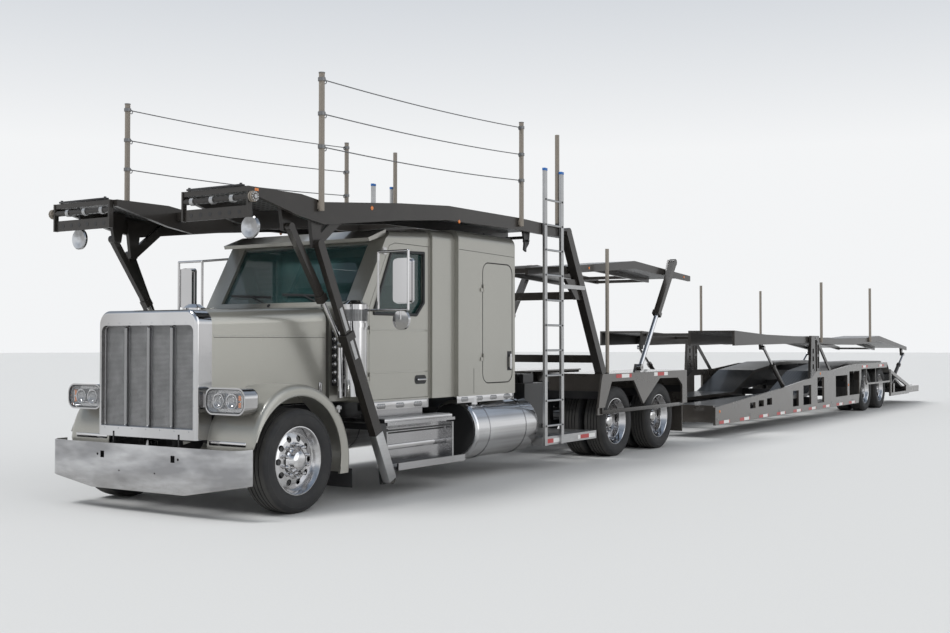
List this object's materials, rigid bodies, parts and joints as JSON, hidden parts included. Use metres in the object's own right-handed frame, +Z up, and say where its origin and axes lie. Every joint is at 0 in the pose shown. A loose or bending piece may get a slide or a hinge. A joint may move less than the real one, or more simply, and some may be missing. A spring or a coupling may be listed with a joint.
{
  "type": "car transporter truck",
  "caption": "Articulated car transporter: long-nose sleeper tractor with a head deck and mid deck, and a low trailer with two tilting decks on struts.",
  "frame": {"origin": "on the ground under the middle of the whole lorry, halfway from its bumper to its tail", "axes": "+Z up, +Y to the tail, +X to the lorry's left side"},
  "size_m": [3.16, 24.35, 4.05],
  "materials": {
    "cab_paint": "satin metallic",
    "deck_paint": "gloss",
    "black_paint": "satin",
    "polished": "polished",
    "plain_aluminium": "satin",
    "bright_plate": "polished",
    "rod_steel": "ground",
    "cast": "rough",
    "window": "polished",
    "trim": "matte",
    "wheel_tyre": "matte"
  },
  "bodies": {
    "tractor": {"tractor_frame": "black_paint", "tractor_axles": "black_paint", "engine": "cast", "bumper": "bright_plate", "cab_shell": "cab_paint", "sleeper_shell": "cab_paint", "windscreen": "window", "cab_interior": "trim", "air_cleaners": "polished", "mirrors": "bright_plate", "cab_steps": "plain_aluminium", "fuel_tanks": "polished", "service_gear": "black_paint", "ladders": "plain_aluminium", "rear_legs": "deck_paint", "drive_fenders": "deck_paint"},
    "hood": {"hood_shell": "cab_paint", "grille_crown": "bright_plate", "grille": "trim", "fenders": "cab_paint", "headlamps": "bright_plate"},
    "trailer": {"trailer_sides": "deck_paint", "trailer_chassis": "black_paint", "trailer_floor": "plain_aluminium", "trailer_rear_frame": "deck_paint", "trailer_uprights": "deck_paint"},
    "door_left": {"door_left": "cab_paint", "door_glass_left": "window"},
    "door_right": {"door_right": "cab_paint", "door_glass_right": "window"},
    "hatch_left": {"hatch_left": "cab_paint"},
    "hatch_right": {"hatch_right": "cab_paint"},
    "knuckle_left": {"knuckle_left": "black_paint"},
    "knuckle_right": {"knuckle_right": "black_paint"},
    "head_deck": {"head_deck": "deck_paint"},
    "mid_deck": {"mid_deck": "deck_paint"},
    "trailer_front_deck": {"trailer_front_deck": "deck_paint"},
    "trailer_rear_deck": {"trailer_rear_deck": "deck_paint"},
    "front_leg_barrels": {"front_leg_barrels": "deck_paint"},
    "front_leg_rods": {"front_leg_rods": "rod_steel"},
    "lift_barrels": {"lift_barrels": "black_paint"},
    "lift_rods": {"lift_rods": "rod_steel"},
    "mid_barrels": {"mid_barrels": "deck_paint"},
    "mid_rods": {"mid_rods": "rod_steel"},
    "trailer_front_barrels": {"trailer_front_barrels": "deck_paint"},
    "trailer_front_rods": {"trailer_front_rods": "rod_steel"},
    "trailer_rear_barrels": {"trailer_rear_barrels": "deck_paint"},
    "trailer_rear_rods": {"trailer_rear_rods": "rod_steel"},
    "wheel_steer_left": {"wheel_steer_left": "wheel_tyre"},
    "wheel_steer_right": {"wheel_steer_right": "wheel_tyre"},
    "wheel_drive_1_left": {"wheel_drive_1_left": "wheel_tyre"},
    "wheel_drive_1_right": {"wheel_drive_1_right": "wheel_tyre"},
    "wheel_drive_2_left": {"wheel_drive_2_left": "wheel_tyre"},
    "wheel_drive_2_right": {"wheel_drive_2_right": "wheel_tyre"},
    "wheel_trailer_1_left": {"wheel_trailer_1_left": "wheel_tyre"},
    "wheel_trailer_1_right": {"wheel_trailer_1_right": "wheel_tyre"},
    "wheel_trailer_2_left": {"wheel_trailer_2_left": "wheel_tyre"},
    "wheel_trailer_2_right": {"wheel_trailer_2_right": "wheel_tyre"}
  },
  "joints": [
    {"name": "hood_tilt", "type": "hinge", "parent": "tractor", "child": "hood", "pos_m": [0, -12.06, 0.68], "axis": [1, 0, 0], "range_deg": [0, 75]},
    {"name": "door_left_swing", "type": "hinge", "parent": "tractor", "child": "door_left", "pos_m": [1.061, -10.19, 1.7], "axis": [0, 0, -1], "range_deg": [0, 62]},
    {"name": "door_right_swing", "type": "hinge", "parent": "tractor", "child": "door_right", "pos_m": [-1.061, -10.19, 1.7], "axis": [0, 0, 1], "range_deg": [0, 62]},
    {"name": "hatch_left_swing", "type": "hinge", "parent": "tractor", "child": "hatch_left", "pos_m": [1.141, -8.245, 1.7], "axis": [0, 0, -1], "range_deg": [0, 75]},
    {"name": "hatch_right_swing", "type": "hinge", "parent": "tractor", "child": "hatch_right", "pos_m": [-1.141, -8.245, 1.7], "axis": [0, 0, 1], "range_deg": [0, 75]},
    {"name": "steer_left", "type": "hinge", "parent": "tractor", "child": "knuckle_left", "pos_m": [0.93, -11.375, 0.465], "axis": [0, 0, 1], "range_deg": [-35, 35]},
    {"name": "steer_right", "type": "hinge", "parent": "tractor", "child": "knuckle_right", "pos_m": [-0.93, -11.375, 0.465], "axis": [0, 0, 1], "range_deg": [-35, 35]},
    {"name": "trailer_turn", "type": "hinge", "parent": "tractor", "child": "trailer", "pos_m": [0, -2.175, 0.45], "axis": [0, 0, 1], "range_deg": [-45, 45]},
    {"name": "wheel_steer_left_spin", "type": "hinge", "parent": "knuckle_left", "child": "wheel_steer_left", "pos_m": [1, -11.375, 0.465], "axis": [1, 0, 0], "continuous": true},
    {"name": "wheel_steer_right_spin", "type": "hinge", "parent": "knuckle_right", "child": "wheel_steer_right", "pos_m": [-1, -11.375, 0.465], "axis": [1, 0, 0], "continuous": true},
    {"name": "wheel_drive_1_left_spin", "type": "hinge", "parent": "tractor", "child": "wheel_drive_1_left", "pos_m": [1, -5.075, 0.465], "axis": [1, 0, 0], "continuous": true},
    {"name": "wheel_drive_1_right_spin", "type": "hinge", "parent": "tractor", "child": "wheel_drive_1_right", "pos_m": [-1, -5.075, 0.465], "axis": [1, 0, 0], "continuous": true},
    {"name": "wheel_drive_2_left_spin", "type": "hinge", "parent": "tractor", "child": "wheel_drive_2_left", "pos_m": [1, -3.695, 0.465], "axis": [1, 0, 0], "continuous": true},
    {"name": "wheel_drive_2_right_spin", "type": "hinge", "parent": "tractor", "child": "wheel_drive_2_right", "pos_m": [-1, -3.695, 0.465], "axis": [1, 0, 0], "continuous": true},
    {"name": "wheel_trailer_1_left_spin", "type": "hinge", "parent": "trailer", "child": "wheel_trailer_1_left", "pos_m": [1, 7.375, 0.465], "axis": [1, 0, 0], "continuous": true},
    {"name": "wheel_trailer_1_right_spin", "type": "hinge", "parent": "trailer", "child": "wheel_trailer_1_right", "pos_m": [-1, 7.375, 0.465], "axis": [1, 0, 0], "continuous": true},
    {"name": "wheel_trailer_2_left_spin", "type": "hinge", "parent": "trailer", "child": "wheel_trailer_2_left", "pos_m": [1, 8.625, 0.465], "axis": [1, 0, 0], "continuous": true},
    {"name": "wheel_trailer_2_right_spin", "type": "hinge", "parent": "trailer", "child": "wheel_trailer_2_right", "pos_m": [-1, 8.625, 0.465], "axis": [1, 0, 0], "continuous": true},
    {"name": "head_deck_tilt", "type": "hinge", "parent": "tractor", "child": "head_deck", "pos_m": [0, -6.485, 2.87], "axis": [-1, 0, 0], "range_deg": [0, 8]},
    {"name": "mid_deck_tilt", "type": "hinge", "parent": "tractor", "child": "mid_deck", "pos_m": [0, -6.27, 2.42], "axis": [1, 0, 0], "range_deg": [-15, 0]},
    {"name": "trailer_front_deck_tilt", "type": "hinge", "parent": "trailer", "child": "trailer_front_deck", "pos_m": [0, 3.325, 1.56], "axis": [-1, 0, 0], "range_deg": [0, 12]},
    {"name": "trailer_rear_deck_tilt", "type": "hinge", "parent": "trailer", "child": "trailer_rear_deck", "pos_m": [0, 3.625, 1.56], "axis": [1, 0, 0], "range_deg": [0, 8]},
    {"name": "front_leg_swing", "type": "hinge", "parent": "tractor", "child": "front_leg_barrels", "pos_m": [0, -10.135, 0.19], "axis": [-1, 0, 0], "range_deg": [0, 5.05]},
    {"name": "front_leg_stroke", "type": "slide", "parent": "front_leg_barrels", "child": "front_leg_rods", "axis": [0, -0.4301, 0.9028], "range_m": [0, 0.61901]},
    {"name": "lift_swing", "type": "hinge", "parent": "front_leg_barrels", "child": "lift_rods", "pos_m": [0, -10.755, 1.5], "axis": [-1, 0, 0], "range_deg": [0, 3.78]},
    {"name": "lift_stroke", "type": "slide", "parent": "lift_rods", "child": "lift_barrels", "axis": [0, -0.5692, 0.8222], "range_m": [0, 0.62165]},
    {"name": "mid_swing", "type": "hinge", "parent": "tractor", "child": "mid_rods", "pos_m": [0, -4.345, 1.17], "axis": [1, 0, 0], "range_deg": [-19.15, 0]},
    {"name": "mid_stroke", "type": "slide", "parent": "mid_rods", "child": "mid_barrels", "axis": [0, 0.6034, 0.7975], "range_m": [-0.59014, 0]},
    {"name": "trailer_front_swing", "type": "hinge", "parent": "trailer", "child": "trailer_front_barrels", "pos_m": [0, 1.975, 0.6], "axis": [-1, 0, 0], "range_deg": [0, 15.19]},
    {"name": "trailer_front_stroke", "type": "slide", "parent": "trailer_front_barrels", "child": "trailer_front_rods", "axis": [0, -0.8234, 0.5674], "range_m": [0, 0.33712]},
    {"name": "trailer_rear_swing", "type": "hinge", "parent": "trailer", "child": "trailer_rear_barrels", "pos_m": [0, 9.625, 0.48], "axis": [1, 0, 0], "range_deg": [0, 26.21]},
    {"name": "trailer_rear_stroke", "type": "slide", "parent": "trailer_rear_barrels", "child": "trailer_rear_rods", "axis": [0, 0.8769, 0.4807], "range_m": [0, 0.64593]}
  ],
  "couplings": [
    {"joint": "steer_right", "follows": "steer_left", "ratio": 1},
    {"joint": "front_leg_swing", "follows": "head_deck_tilt", "ratio": 0.6286},
    {"joint": "front_leg_stroke", "follows": "head_deck_tilt", "m_per_rad": 4.4157},
    {"joint": "lift_swing", "follows": "head_deck_tilt", "ratio": 0.4711},
    {"joint": "lift_stroke", "follows": "head_deck_tilt", "m_per_rad": 4.4345},
    {"joint": "mid_swing", "follows": "mid_deck_tilt", "ratio": 1.2717},
    {"joint": "mid_stroke", "follows": "mid_deck_tilt", "m_per_rad": 2.2452},
    {"joint": "trailer_front_swing", "follows": "trailer_front_deck_tilt", "ratio": 1.2606},
    {"joint": "trailer_front_stroke", "follows": "trailer_front_deck_tilt", "m_per_rad": 1.6032},
    {"joint": "trailer_rear_swing", "follows": "trailer_rear_deck_tilt", "ratio": 3.2629},
    {"joint": "trailer_rear_stroke", "follows": "trailer_rear_deck_tilt", "m_per_rad": 4.6077}
  ]
}
